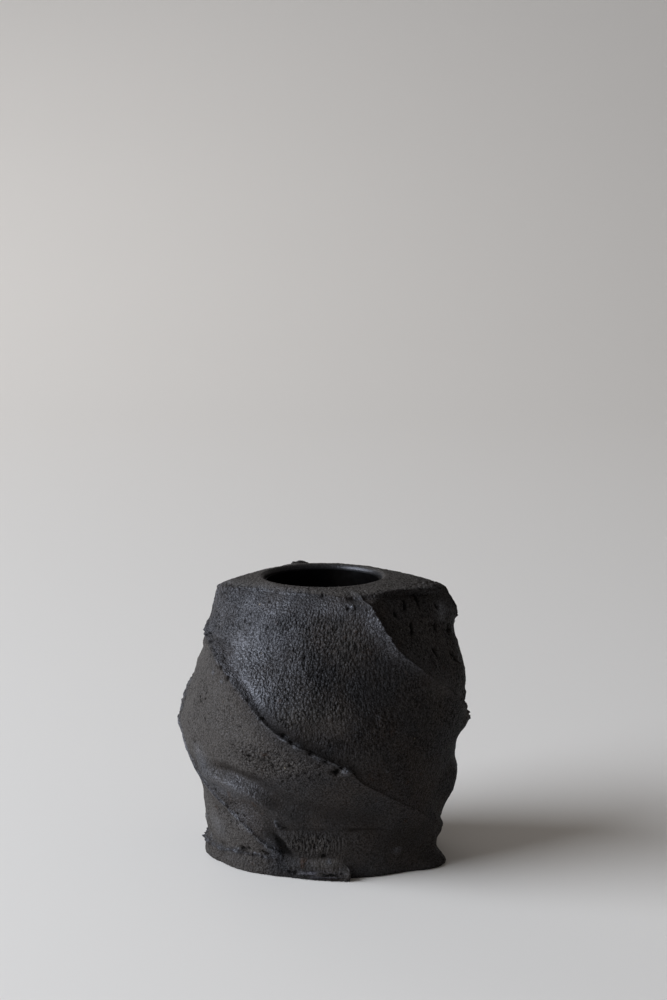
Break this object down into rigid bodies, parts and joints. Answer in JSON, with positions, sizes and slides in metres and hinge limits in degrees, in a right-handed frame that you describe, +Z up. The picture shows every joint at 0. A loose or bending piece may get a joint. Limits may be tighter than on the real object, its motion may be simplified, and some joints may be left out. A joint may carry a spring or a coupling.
{
  "type": "stoneware vase",
  "caption": "Hand-built black stoneware vase, a round pot carved into winding ridges and hollows, with a sloping deck, a round mouth and a torn foot.",
  "frame": {"origin": "on the axis of the mouth, on the surface that the vase stands on", "axes": "+Z up, out of the mouth; -Y towards the front, where the blunt corner of the foot points; +X to the right"},
  "size_m": [0.1542, 0.1507, 0.15],
  "materials": {
    "black_stoneware": "unglazed, matt to satin, torn ridges, pinholes and stretched-clay crackle in the hollows",
    "dark_glaze": "smooth, glossy, near-black"
  },
  "bodies": {
    "root": {"floor_slab": "black_stoneware", "foot_course": "black_stoneware", "carved_wall": "black_stoneware", "shoulder_slab": "black_stoneware", "floor_seam_coil": "black_stoneware", "shoulder_seam_coil": "black_stoneware", "interior_glaze": "dark_glaze"}
  },
  "joints": []
}
